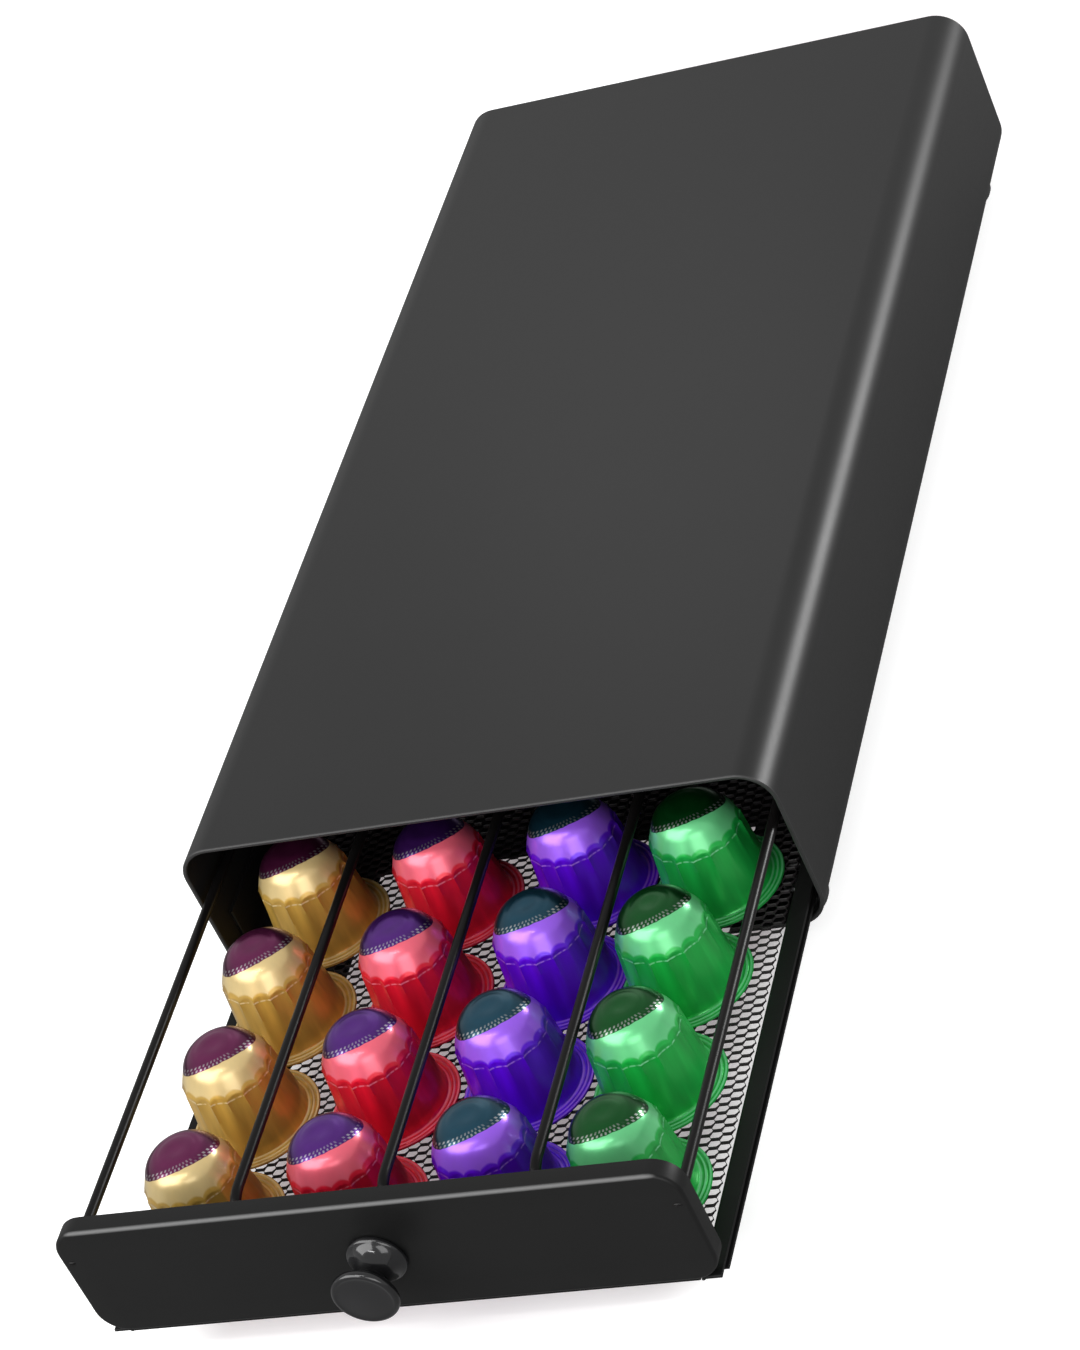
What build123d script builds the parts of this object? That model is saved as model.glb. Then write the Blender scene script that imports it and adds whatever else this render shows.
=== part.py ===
import os

from build123d import *

os.makedirs("parts", exist_ok=True)

# Driving dimensions, mm. +Z is up and -Y is the front. While the pieces are drawn,
# y = 0 is the sleeve's mouth and z = 0 its underside; save() moves them to the frame.
sleeve_w = 177.0
sleeve_h = 55.5
sleeve_l = 362.0
sheet_t = 1.2
bend_r = 10.5
lip_w = 30.0
foot_h = 6.0
opened = 132.7
kept_in = 66.0

# Front panel and knob
panel_over = 7.2
panel_t = 1.2
panel_return = 6.0
panel_corner_r = 8.0
panel_z = 10.3
side_clear = 0.6
knob_l = 14.0
knob_r = 8.9
knob_base_r = 8.0
knob_waist_r = 4.7
screw_r = 1.95
screw_l = 9.0
screw_head_r = 3.6
screw_head_t = 2.4
washer_r = 5.0
washer_t = 0.8
hole_clear = 0.15

# Drawer frame, floor and wires
channel_w = 5.5
channel_t = 1.0
frame_top = panel_z
front_member_w = 14.0
flange_back = 5.0
rear_member_w = 9.0
stop_gap = 0.3
floor_t = 1.0
gap_cols = 8
gap_rows = 36
strand_w = 2.0
wire_r = 1.5
wire_bend_r = 8.0
rail_drop = 10.8
rail_in_bend = 7.2
divider_front = 13.0
back_rail_z = 29.0

# Runners, ties, stops and feet of the sleeve
runner_t = 1.0
runner_in_bend = 7.5
runner_top = 24.0
runner_front = 9.0
runner_back = 10.0
running_gap = 0.3
tongue_gap = 0.5
tie_w = 24.0
tie_t = 1.2
lug_w = 16.0
lug_drop = 3.7
lug_x = 40.0
foot_r = 8.5
foot_in = 16.0
rivet_r = 1.6
rivet_head_r = 3.2
rivet_head_t = 1.0

# Pods: one capsule size, four lanes of four, each stood a little off its place
pod_r = 18.5
pod_h = 30.0
pod_foot_r = 14.9
pod_shoulder_r = 13.2
pod_shoulder_z = 20.4
pod_cap_r = 10.6
pod_cap_z = 25.6
pod_top_r = 3.0
pod_pitch = 37.3
pod_front = 19.2
pod_offsets = {
    "gold": [(-0.1, -0.2), (-0.5, -0.1), (0.3, -0.1), (0.6, 0.0)],
    "red": [(-0.4, 0.4), (-0.7, 0.4), (0.1, 0.3), (0.4, 0.3)],
    "blue": [(-1.0, 0.6), (-4.1, 1.7), (-2.2, 1.5), (-1.0, 1.4)],
    "green": [(-4.6, -3.4), (-7.6, -3.5), (-7.6, -3.6), (-5.6, -3.7)],
}

# Everything below follows from the sizes above.
half_w = sleeve_w / 2
inner_w = half_w - sheet_t
panel_w = 2 * (inner_w - side_clear)
panel_y = -opened
panel_back = panel_y + panel_t
panel_h = sleeve_h - panel_over - panel_z
rail_z = panel_z + panel_h - rail_drop
rail_x = inner_w - (bend_r - rail_in_bend)
divider_pitch = rail_x / 2
knob_z = panel_z + panel_h / 2
frame_y0 = panel_y + 1.0
frame_y1 = sleeve_l - opened - tie_t - 2.8 - stop_gap
runner_bend_r = bend_r - runner_in_bend
channel_h = 2 * channel_t + runner_t + 2 * running_gap
web_x = rail_x + wire_r - 0.5 - channel_w
floor_z1 = frame_top
floor_z0 = floor_z1 - floor_t
frame_z0 = frame_top - channel_h
front_web = frame_y0 + front_member_w
rear_web = frame_y1 - rear_member_w
leg_y = frame_y1 - 3.0
stop_z = sheet_t + tie_t
centre_y = (sleeve_l - opened - knob_l) / 2
move = Location((0, -centre_y, foot_h))


def save(name, shape, colour):
    placed = move * shape
    placed.label = name
    placed.color = Color(*colour)
    export_step(placed, f"parts/{name}.step")


def across_y(outline, y0, y1):
    """A face drawn in (x, z) pushed from y0 to y1."""
    return extrude(Plane.XZ.offset(-y0) * outline, -(y1 - y0))


def across_x(outline, x0, x1):
    """A face drawn in (y, z) pushed from x0 to x1."""
    return extrude(Plane.YZ.offset(x0) * outline, x1 - x0)


def block(x0, x1, y0, y1, z0, z1):
    """A box between its limits."""
    size = Box(x1 - x0, y1 - y0, z1 - z0)
    return Location(((x0 + x1) / 2, (y0 + y1) / 2, (z0 + z1) / 2)) * size


def polygon(*points):
    """A flat face with these corners."""
    return make_face(Polyline(*points, close=True))


def post(x, y, z0, z1, r):
    """An upright round bar."""
    return Location((x, y, (z0 + z1) / 2)) * Cylinder(r, z1 - z0)


def wire(points, radii, r):
    """A round wire along straight runs joined by bends."""
    path = FilletPolyline(*points, radius=radii) if radii else Line(*points)
    return sweep(Plane(path @ 0, z_dir=path % 0) * Circle(r), path=path)


black = (0.05, 0.05, 0.055)
steel = (0.62, 0.62, 0.64)
rubber = (0.03, 0.03, 0.03)

# Sleeve: one sheet folded round the top, the sides and two lips under the drawer
with_skin = Location((0, sleeve_h / 2)) * RectangleRounded(sleeve_w, sleeve_h, bend_r)
hollow = Location((0, sleeve_h / 2)) * RectangleRounded(
    sleeve_w - 2 * sheet_t, sleeve_h - 2 * sheet_t, bend_r - sheet_t
)
open_w = sleeve_w - 2 * lip_w
floor_gap = Location((0, 0)) * Rectangle(open_w, 4 * sheet_t)
sleeve = across_y(with_skin - hollow - floor_gap, 0, sleeve_l)
foot_x = half_w - bend_r - rivet_head_r - 0.3
foot_ys = {"front": foot_in, "rear": sleeve_l - foot_in}
for side in (-1, 1):
    for y in foot_ys.values():
        sleeve -= post(side * foot_x, y, -sheet_t, 2 * sheet_t, rivet_r + hole_clear)
save("sleeve_shell", sleeve, black)

# Runners: a leg on the sleeve's side turned in to a tongue inside the drawer's channel
tongue_z0 = frame_z0 + channel_t + running_gap
arc_z = tongue_z0 + runner_bend_r
arc_x = inner_w - runner_bend_r
tongue_tip = web_x + channel_t + tongue_gap
bend_in = runner_bend_r - runner_t
mid = 0.70710678
runner_line = [
    Line((inner_w, runner_top), (inner_w, arc_z)),
    ThreePointArc(
        (inner_w, arc_z),
        (arc_x + runner_bend_r * mid, arc_z - runner_bend_r * mid),
        (arc_x, tongue_z0),
    ),
    Line((arc_x, tongue_z0), (tongue_tip, tongue_z0)),
    Line((tongue_tip, tongue_z0), (tongue_tip, tongue_z0 + runner_t)),
    Line((tongue_tip, tongue_z0 + runner_t), (arc_x, tongue_z0 + runner_t)),
    ThreePointArc(
        (arc_x, tongue_z0 + runner_t),
        (arc_x + bend_in * mid, arc_z - bend_in * mid),
        (inner_w - runner_t, arc_z),
    ),
    Line((inner_w - runner_t, arc_z), (inner_w - runner_t, runner_top)),
    Line((inner_w - runner_t, runner_top), (inner_w, runner_top)),
]
runner = across_y(make_face(runner_line), runner_front, sleeve_l - runner_back)
save("runner_right", runner, steel)
save("runner_left", mirror(runner, about=Plane.YZ), steel)

# Ties across the lips; each has an upstand that stops the drawer
tie_half = foot_x - rivet_head_r - 1.5
out_stop_y = kept_in - stop_gap
tie_section = polygon(
    (out_stop_y - tie_w, sheet_t),
    (out_stop_y, sheet_t),
    (out_stop_y, frame_z0 - lug_drop / 2 + 0.4),
    (out_stop_y - tie_t, frame_z0 - lug_drop / 2 + 0.4),
    (out_stop_y - tie_t, stop_z),
    (out_stop_y - tie_w, stop_z),
)
save("tie_front", across_x(tie_section, -tie_half, tie_half), black)
in_stop_y = frame_y1 + opened + stop_gap
tie_section = polygon(
    (in_stop_y - tie_w, sheet_t),
    (in_stop_y + tie_t, sheet_t),
    (in_stop_y + tie_t, frame_top - 1.0),
    (in_stop_y, frame_top - 1.0),
    (in_stop_y, stop_z),
    (in_stop_y - tie_w, stop_z),
)
save("tie_rear", across_x(tie_section, -tie_half, tie_half), black)

# Feet, each held by a rivet through the lip
foot_outline = make_face(
    [
        Line((rivet_r + hole_clear, 0), (foot_r, 0)),
        Line((foot_r, 0), (foot_r - 0.4, -foot_h + 1.2)),
        Line((foot_r - 0.4, -foot_h + 1.2), (foot_r - 1.6, -foot_h)),
        Line((foot_r - 1.6, -foot_h), (rivet_head_r + 0.6, -foot_h)),
        Line((rivet_head_r + 0.6, -foot_h), (rivet_head_r + 0.2, -foot_h / 2)),
        Line((rivet_head_r + 0.2, -foot_h / 2), (rivet_r + hole_clear, -foot_h / 2)),
        Line((rivet_r + hole_clear, -foot_h / 2), (rivet_r + hole_clear, 0)),
    ]
)
foot = revolve(Plane.XZ * foot_outline, Axis.Z)
rivet_outline = polygon(
    (0, -foot_h / 2 - rivet_head_t),
    (rivet_head_r, -foot_h / 2 - rivet_head_t),
    (rivet_head_r, -foot_h / 2),
    (rivet_r, -foot_h / 2),
    (rivet_r, sheet_t),
    (rivet_head_r, sheet_t),
    (rivet_head_r, sheet_t + rivet_head_t),
    (0, sheet_t + rivet_head_t),
)
rivet = revolve(Plane.XZ * rivet_outline, Axis.Z)
for side_name, side in {"left": -1, "right": 1}.items():
    for end_name, y in foot_ys.items():
        place = Location((side * foot_x, y, 0))
        save(f"foot_{end_name}_{side_name}", place * foot, rubber)
        save(f"rivet_{end_name}_{side_name}", place * rivet, steel)

# Front panel: a pan with its edges folded back
pan = RectangleRounded(panel_w, panel_h, panel_corner_r)
pan_in = RectangleRounded(
    panel_w - 2 * panel_t, panel_h - 2 * panel_t, panel_corner_r - panel_t
)
pan = Location((0, knob_z)) * pan
pan_in = Location((0, knob_z)) * pan_in
panel = across_y(pan, panel_y, panel_y + panel_return)
panel -= across_y(pan_in, panel_back, panel_y + 2 * panel_return)
rim_edges = panel.edges().filter_by_position(Axis.Y, panel_y - 0.01, panel_y + 0.01)
panel = fillet(rim_edges, panel_t * 0.6)
bolt_hole = Location((0, knob_z)) * Circle(screw_r + hole_clear)
panel -= across_y(bolt_hole, panel_y - 1, panel_back + 1)
save("front_panel", panel, black)

# Knob, turned, with its screw and washer behind the panel
knob_outline = make_face(
    [
        Line((0, 0), (knob_base_r, 0)),
        Line((knob_base_r, 0), (knob_base_r, 1.4)),
        ThreePointArc(
            (knob_base_r, 1.4),
            (knob_waist_r, knob_l * 0.46),
            (knob_r - 0.3, knob_l * 0.83),
        ),
        ThreePointArc(
            (knob_r - 0.3, knob_l * 0.83),
            (knob_r, knob_l * 0.89),
            (knob_r - 0.8, knob_l * 0.955),
        ),
        Line((knob_r - 0.8, knob_l * 0.955), (knob_r * 0.55, knob_l)),
        Line((knob_r * 0.55, knob_l), (0, knob_l)),
        Line((0, knob_l), (0, 0)),
    ]
)
knob_plane = Plane((0, panel_y, knob_z), x_dir=(1, 0, 0), z_dir=(0, 0, 1))
knob = revolve(Plane((0, 0, 0)) * knob_outline, Axis.Y)
knob -= Rotation(90, 0, 0) * Cylinder(screw_r + hole_clear, 2 * screw_l)
knob = knob_plane * (Rotation(0, 0, 180) * knob)
save("knob", knob, black)
screw_outline = polygon(
    (0, -screw_l + 1.0),
    (screw_r, -screw_l + 1.0),
    (screw_r, panel_t + washer_t),
    (screw_head_r, panel_t + washer_t),
    (screw_head_r, panel_t + washer_t + screw_head_t - 0.8),
    (screw_head_r - 1.2, panel_t + washer_t + screw_head_t),
    (0, panel_t + washer_t + screw_head_t),
)
screw = revolve(screw_outline, Axis.Y)
cross = block(-0.5, 0.5, panel_t + washer_t + 1.4, 2 * screw_head_t + 4, -2.1, 2.1)
screw -= cross + Rotation(0, 90, 0) * cross
save("knob_screw", knob_plane * screw, steel)
washer = Circle(washer_r) - Circle(screw_r + hole_clear)
washer = across_y(Location((0, knob_z)) * washer, panel_back, panel_back + washer_t)
save("knob_washer", washer, steel)


# Drawer frame: four channels, open outwards
def channel(depth, low_depth):
    """A channel's section, web on the inner side, its lower flange low_depth deep."""
    return polygon(
        (0, frame_z0),
        (low_depth, frame_z0),
        (low_depth, frame_z0 + channel_t),
        (channel_t, frame_z0 + channel_t),
        (channel_t, frame_top - channel_t),
        (depth, frame_top - channel_t),
        (depth, frame_top),
        (0, frame_top),
    )


# The lower flanges stand flange_back behind the panel, out of sight under its edge
side_channel = channel(channel_w, channel_w)
side_channel = across_y(Location((web_x, 0)) * side_channel, frame_y0, frame_y1)
notch_y = frame_y0 + flange_back
notch_z = frame_z0 + channel_t
side_channel -= block(web_x - 1, web_x + channel_w + 1, frame_y0 - 1, notch_y, frame_z0 - 1, notch_z)
save("frame_right", side_channel, black)
save("frame_left", mirror(side_channel, about=Plane.YZ), black)
rear_channel = Location((rear_web, 0)) * channel(rear_member_w, rear_member_w)
save("frame_rear", across_x(rear_channel, -web_x, web_x), black)
front_channel = channel(front_member_w, front_member_w - flange_back)
front_channel = mirror(across_x(front_channel, -web_x, web_x), about=Plane.XZ)
save("frame_front", Location((0, front_web, 0)) * front_channel, black)

# Floor: a sheet slit and stretched to diamond gaps, on three rods
floor_y0 = front_web
floor_y1 = rear_web
cell_x = 2 * web_x / gap_cols
cell_y = (floor_y1 - floor_y0) / gap_rows
diamond = polygon(
    (-cell_x / 2 + strand_w, 0),
    (0, -cell_y + strand_w),
    (cell_x / 2 - strand_w, 0),
    (0, cell_y - strand_w),
)
floor_face = Location((0, (floor_y0 + floor_y1) / 2)) * Rectangle(
    2 * web_x, floor_y1 - floor_y0
)
spots = []
for row in range(1, gap_rows):
    odd = row % 2
    for col in range(gap_cols - 1 + odd):
        x = -web_x + (col + 1 - 0.5 * odd) * cell_x
        spots.append(Location((x, floor_y0 + row * cell_y)))
floor_face -= [spot * diamond for spot in spots]
floor = extrude(Plane.XY.offset(floor_z0) * floor_face, floor_t)
save("mesh_floor", floor, black)
for number in range(1, 4):
    y = floor_y0 + (0.15 + 0.25 * number) * (floor_y1 - floor_y0)
    rod = wire([(-web_x, y, floor_z0 - wire_r), (web_x, y, floor_z0 - wire_r)], 0, wire_r)
    save(f"floor_rod_{number}", rod, black)

# Side rails, dividers and the rail across the back
rail = wire(
    [(rail_x, panel_back, rail_z), (rail_x, leg_y, rail_z), (rail_x, leg_y, frame_top)],
    wire_bend_r,
    wire_r,
)
save("rail_right", rail, black)
save("rail_left", mirror(rail, about=Plane.YZ), black)
front_leg = panel_y + divider_front
for number in range(1, 4):
    x = (number - 2) * divider_pitch
    divider = wire(
        [
            (x, front_leg, frame_top),
            (x, front_leg, rail_z),
            (x, leg_y, rail_z),
            (x, leg_y, frame_top),
        ],
        wire_bend_r,
        wire_r,
    )
    save(f"divider_{number}", divider, black)
back_y = leg_y - 2 * wire_r
back_rail = wire(
    [(-rail_x - wire_r, back_y, back_rail_z), (rail_x + wire_r, back_y, back_rail_z)],
    0,
    wire_r,
)
save("back_rail", back_rail, black)

# Lugs under the rear channel that meet the front tie when the drawer is out
lug_section = polygon(
    (rear_web, frame_z0),
    (rear_web + rear_member_w, frame_z0),
    (rear_web + rear_member_w, frame_z0 - channel_t),
    (rear_web + channel_t, frame_z0 - channel_t),
    (rear_web + channel_t, frame_z0 - lug_drop),
    (rear_web, frame_z0 - lug_drop),
)
for side_name, side in {"left": -1, "right": 1}.items():
    x0 = side * lug_x - lug_w / 2
    save(f"stop_lug_{side_name}", across_x(lug_section, x0, x0 + lug_w), steel)

# Pods: a tapering capsule with a shoulder and a domed cap, on a wide rim
pod_crown_r = (pod_cap_r + pod_top_r) / 2 + 0.4
pod_crown_z = (pod_cap_z + pod_h) / 2 + 0.8
pod_outline = make_face(
    [
        Line((0, 0), (pod_r, 0)),
        Line((pod_r, 0), (pod_r, 1.0)),
        Line((pod_r, 1.0), (pod_foot_r, 1.0)),
        Line((pod_foot_r, 1.0), (pod_shoulder_r, pod_shoulder_z)),
        Line((pod_shoulder_r, pod_shoulder_z), (pod_cap_r, pod_cap_z)),
        ThreePointArc((pod_cap_r, pod_cap_z), (pod_crown_r, pod_crown_z), (pod_top_r, pod_h)),
        Line((pod_top_r, pod_h), (0, pod_h)),
        Line((0, pod_h), (0, 0)),
    ]
)
pod = revolve(Plane.XZ * pod_outline, Axis.Z)
foils = {
    "gold": (0.57, 0.32, 0.06),
    "red": (0.58, 0.006, 0.027),
    "blue": (0.08, 0.0, 0.48),
    "green": (0.006, 0.35, 0.042),
}
for lane, (colour_name, offsets) in enumerate(pod_offsets.items()):
    for row, (dx, dy) in enumerate(offsets):
        x = (lane - 1.5) * divider_pitch + dx
        y = front_web + pod_front + row * pod_pitch + dy
        place = Location((x, y, floor_z1))
        save(f"pod_{colour_name}_{row + 1}", place * pod, foils[colour_name])
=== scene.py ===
import math
import random

import bmesh
import bpy
from mathutils import Matrix, Vector


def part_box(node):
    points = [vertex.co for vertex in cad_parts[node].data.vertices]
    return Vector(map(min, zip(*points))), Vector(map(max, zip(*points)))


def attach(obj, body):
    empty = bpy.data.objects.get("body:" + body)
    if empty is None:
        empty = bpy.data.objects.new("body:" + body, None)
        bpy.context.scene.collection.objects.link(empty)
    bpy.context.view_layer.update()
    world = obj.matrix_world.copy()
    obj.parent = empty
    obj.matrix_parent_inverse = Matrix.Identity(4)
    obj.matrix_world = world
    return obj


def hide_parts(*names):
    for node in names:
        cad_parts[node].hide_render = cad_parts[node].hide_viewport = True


bl_info = {
    "name": "Coffee pod drawer",
    "version": (1, 0, 0),
    "blender": (4, 5, 0),
    "location": "View3D > Sidebar > Pod drawer",
    "description": "Shapes and finishes for the sleeve, the wire drawer and its pods",
    "category": "Object",
}

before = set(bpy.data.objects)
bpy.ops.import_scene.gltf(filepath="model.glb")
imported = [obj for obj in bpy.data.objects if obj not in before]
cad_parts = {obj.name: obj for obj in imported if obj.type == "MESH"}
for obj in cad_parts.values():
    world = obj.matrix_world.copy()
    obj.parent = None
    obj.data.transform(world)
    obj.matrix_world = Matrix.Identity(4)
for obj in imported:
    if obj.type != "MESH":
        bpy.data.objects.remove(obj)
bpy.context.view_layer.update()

MM = 0.001
LANES = ("gold", "red", "blue", "green")
# The photograph's view: where the camera stands and how it is turned and rolled.
CAMERA_AT = (0.4632, -0.87655, 0.7150)
CAMERA_RIGHT = (0.90798, 0.21096, -0.36203)
CAMERA_UP = (0.13996, 0.66170, 0.73659)
CAMERA_BACK = (0.39495, -0.71948, 0.57129)
CAMERA_LENS = 110.5
# Sheet of the runners, channels and lugs, and of the ties.
ROLLED_SHEET = 1.0 * MM
TIE_SHEET = 1.2 * MM
# How far behind the panel the lower flanges of the frame begin.
FLANGE_BACK = 5 * MM
# Heights of a pod's crease ring and of the arches above it, and its radius there.
CREASE_AT = 20.1 * MM
ARCHES_AT = 20.5 * MM
CREASE_RADIUS = 13.17 * MM


# ---- sizes and colours that a user may change ----


def length(name, about, default):
    """A length property, given in metres."""
    return bpy.props.FloatProperty(
        name=name, description=about, default=default, unit="LENGTH", precision=5
    )


def share(name, about, default):
    """A property from 0 to 1."""
    return bpy.props.FloatProperty(
        name=name, description=about, default=default, min=0, max=1, subtype="FACTOR"
    )


def colour(name, about, default):
    """A linear colour property."""
    return bpy.props.FloatVectorProperty(
        name=name, description=about, default=default, size=3, min=0, max=1, subtype="COLOR"
    )


class CasingSettings(bpy.types.PropertyGroup):
    """The folded sleeve and what is fixed to it"""

    sheet: length("Sheet", "Thickness of the sleeve's steel sheet", 1.2 * MM)
    bend: length("Bend", "Outer radius of the sleeve's four folds", 10.5 * MM)
    lip: length("Lip", "Width of the two lips under the drawer", 30 * MM)
    coat: colour("Coat", "Powder coat of the sleeve", (0.012, 0.012, 0.012))
    roughness: share("Roughness", "Roughness of the powder coat", 0.4)
    steel: colour("Zinc", "Bright zinc of screw, washer and rivets", (0.5, 0.5, 0.52))
    rubber: colour("Rubber", "The feet", (0.02, 0.02, 0.02))


class DrawerSettings(bpy.types.PropertyGroup):
    """The pull-out drawer"""

    sheet: length("Panel sheet", "Thickness of the front panel", 1.2 * MM)
    corner: length("Panel corner", "Corner radius of the front panel", 8 * MM)
    wire: length("Wire", "Diameter of the round wires", 3 * MM)
    wire_bend: length("Wire bend", "Bend radius of the wires", 8 * MM)
    strand: length("Strand", "Thickness of one strand of the expanded floor", 0.32 * MM)
    cell_x: length("Cell width", "Width of one gap of the expanded floor", 6 * MM)
    cell_y: length("Cell depth", "Depth of one gap of the expanded floor", 3 * MM)
    coat: colour("Coat", "Powder coat of panel and frame", (0.007, 0.007, 0.007))
    wire_coat: colour("Wire coat", "Coat of the wires", (0.005, 0.0045, 0.0045))
    floor_coat: colour("Floor coat", "Thin coat of the expanded floor", (0.03, 0.027, 0.028))
    knob: colour("Knob", "Gloss plastic of the knob", (0.004, 0.004, 0.0045))


class PodSettings(bpy.types.PropertyGroup):
    """The foil pods"""

    flutes: bpy.props.IntProperty(
        name="Flutes", description="Flutes round the body", default=17, min=8, max=48
    )
    flute: length("Flute depth", "Depth of a flute at the crease", 0.6 * MM)
    cap_lean: share("Cap lean", "How steeply the cap's edge climbs at the front", 0.6)
    roughness: share("Foil roughness", "Roughness of the lacquered foil", 0.3)
    gold: colour("Gold foil", "Body of the first lane's pods", (0.54, 0.33, 0.062))
    gold_cap: colour("Gold pod's cap", "Cap of the first lane's pods", (0.155, 0.018, 0.085))
    red: colour("Red foil", "Body of the second lane's pods", (0.78, 0.009, 0.032))
    red_cap: colour("Red pod's cap", "Cap of the second lane's pods", (0.1, 0.02, 0.23))
    blue: colour("Violet foil", "Body of the third lane's pods", (0.115, 0.003, 0.7))
    blue_cap: colour("Violet pod's cap", "Cap of the third lane's pods", (0.012, 0.065, 0.105))
    green: colour("Green foil", "Body of the fourth lane's pods", (0.011, 0.4, 0.06))
    green_cap: colour("Green pod's cap", "Cap of the fourth lane's pods", (0.003, 0.085, 0.014))


class StageSettings(bpy.types.PropertyGroup):
    """Floor, backdrop and lamps"""

    floor: colour("Floor", "Colour of the plain floor", (0.85, 0.85, 0.85))
    ambient: bpy.props.FloatProperty(
        name="Ambient", description="Soft light from all round", default=0.5, min=0
    )
    key: bpy.props.FloatProperty(
        name="Key lamp",
        description="Power of the large soft lamp",
        default=24,
        min=0,
        unit="POWER",
    )


# ---- shader maths ----


class Value:
    """A shader socket that can stand in a sum."""

    def __init__(self, finish, socket):
        self.finish = finish
        self.socket = socket

    def __add__(self, other):
        return self.finish.maths("ADD", self, other)

    def __radd__(self, other):
        return self.finish.maths("ADD", other, self)

    def __sub__(self, other):
        return self.finish.maths("SUBTRACT", self, other)

    def __rsub__(self, other):
        return self.finish.maths("SUBTRACT", other, self)

    def __mul__(self, other):
        return self.finish.maths("MULTIPLY", self, other)

    def __rmul__(self, other):
        return self.finish.maths("MULTIPLY", other, self)

    def __truediv__(self, other):
        return self.finish.maths("DIVIDE", self, other)

    def __pow__(self, other):
        return self.finish.maths("POWER", self, other)

    def __abs__(self):
        return self.finish.maths("ABSOLUTE", self)


class Finish:
    """A material, or a world, being made out of nodes."""

    def __init__(self, name, store="materials"):
        self.made = getattr(bpy.data, store).new(name)
        self.made.use_nodes = True
        self.tree = self.made.node_tree
        self.tree.nodes.clear()

    def node(self, kind, settings=None, sockets=None, out=0):
        """Adds a node: its settings first, then its sockets. Gives back one of its outputs."""
        made = self.tree.nodes.new(kind)
        for key, setting in (settings or {}).items():
            setattr(made, key, setting)
        for key, given in (sockets or {}).items():
            if isinstance(given, Value):
                self.tree.links.new(given.socket, made.inputs[key])
            elif isinstance(given, tuple) and made.inputs[key].type == "RGBA":
                made.inputs[key].default_value = (*given[:3], 1)
            else:
                made.inputs[key].default_value = given
        return Value(self, made.outputs[out]) if len(made.outputs) else None

    def maths(self, operation, first, second=0):
        return self.node("ShaderNodeMath", {"operation": operation}, {0: first, 1: second})

    def place(self):
        """The place on the piece, in metres."""
        return self.node("ShaderNodeTexCoord", out="Object")

    def axes(self, place):
        """The three coordinates of a place."""
        parts = self.node("ShaderNodeSeparateXYZ", {}, {"Vector": place}).socket.node
        return [Value(self, part) for part in parts.outputs]

    def noise(self, place, size, detail):
        """Noise from 0 to 1 whose lumps are about size metres across."""
        sockets = {"Vector": place, "Scale": 1 / size, "Detail": detail}
        return self.node("ShaderNodeTexNoise", {}, sockets)

    def step(self, value, low, high):
        """0 below low, 1 above high, smooth between."""
        settings = {"interpolation_type": "SMOOTHSTEP"}
        sockets = {"Value": value, "From Min": low, "From Max": high}
        return self.node("ShaderNodeMapRange", settings, sockets)

    def mix(self, factor, first, second):
        """The first colour at 0, the second at 1."""
        # The colour variant's factor, A and B are sockets 0, 6 and 7, and its result is output 2
        sockets = {0: factor, 6: first, 7: second}
        return self.node("ShaderNodeMix", {"data_type": "RGBA"}, sockets, out=2)

    def bump(self, height, strength, distance):
        sockets = {"Height": height, "Strength": strength, "Distance": distance}
        return self.node("ShaderNodeBump", {}, sockets, out="Normal")

    def stretched(self, place, scale):
        """The same place with each axis scaled, for long grain."""
        return self.node("ShaderNodeMapping", {}, {"Vector": place, "Scale": scale})

    def surface(self, **sockets):
        """The finished material, from the main shader's sockets by name."""
        named = {key.replace("_", " "): given for key, given in sockets.items()}
        shader = self.node("ShaderNodeBsdfPrincipled", {}, named)
        self.node("ShaderNodeOutputMaterial", {}, {"Surface": shader})
        return self.made


def tinted(tint, by):
    """A colour made lighter or darker."""
    return tuple(min(1, max(0, part * by)) for part in tint)


def powder_coat(name, tint, roughness, grain=0.9 * MM, sheen=0.3, painted_highlight_edge=None):
    """Satin powder coat with orange peel, mottling and specks.

    The last argument adds a painted highlight along an edge: the line it follows as {axis:
    coordinate}, its width and its grey.
    """
    coat = Finish(name)
    place = coat.place()
    peel = coat.noise(place, grain, 2)
    speck = coat.noise(place, grain * 0.3, 1)
    mottle = coat.noise(place, 45 * MM, 3)
    shade = mottle * 0.6 + speck * 0.4
    rough = roughness - 0.07 + mottle * 0.08 + peel * 0.06
    relief = coat.bump(peel * 0.7 + speck * 0.3, 0.16, 0.05 * MM)
    tone = coat.mix(shade, tinted(tint, 0.72), tinted(tint, 1.3))
    # Painted highlight: a lighter grey along the given edge
    if painted_highlight_edge:
        line, width, grey = painted_highlight_edge
        axes = dict(zip("XYZ", coat.axes(place)))
        offs = [axes[axis] - at for axis, at in line.items()]
        off = sum(part * part for part in offs) ** 0.5
        tone = coat.mix(1 - coat.step(off, width * 0.4, width), tone, (grey, grey, grey))
    return coat.surface(
        Base_Color=tone,
        Roughness=rough,
        Specular_IOR_Level=sheen,
        Normal=relief,
    )


def zinc_plate(name, tint):
    """Drawn, zinc-plated steel with grain along the drawer."""
    zinc = Finish(name)
    place = zinc.place()
    grain = zinc.noise(zinc.stretched(place, (1, 0.04, 1)), 0.35 * MM, 3)
    cloud = zinc.noise(place, 14 * MM, 3)
    return zinc.surface(
        Base_Color=zinc.mix(cloud, tinted(tint, 0.8), tinted(tint, 1.12)),
        Metallic=1.0,
        Roughness=0.26 + grain * 0.18 + cloud * 0.06,
        Normal=zinc.bump(grain, 0.12, 0.04 * MM),
    )


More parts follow.
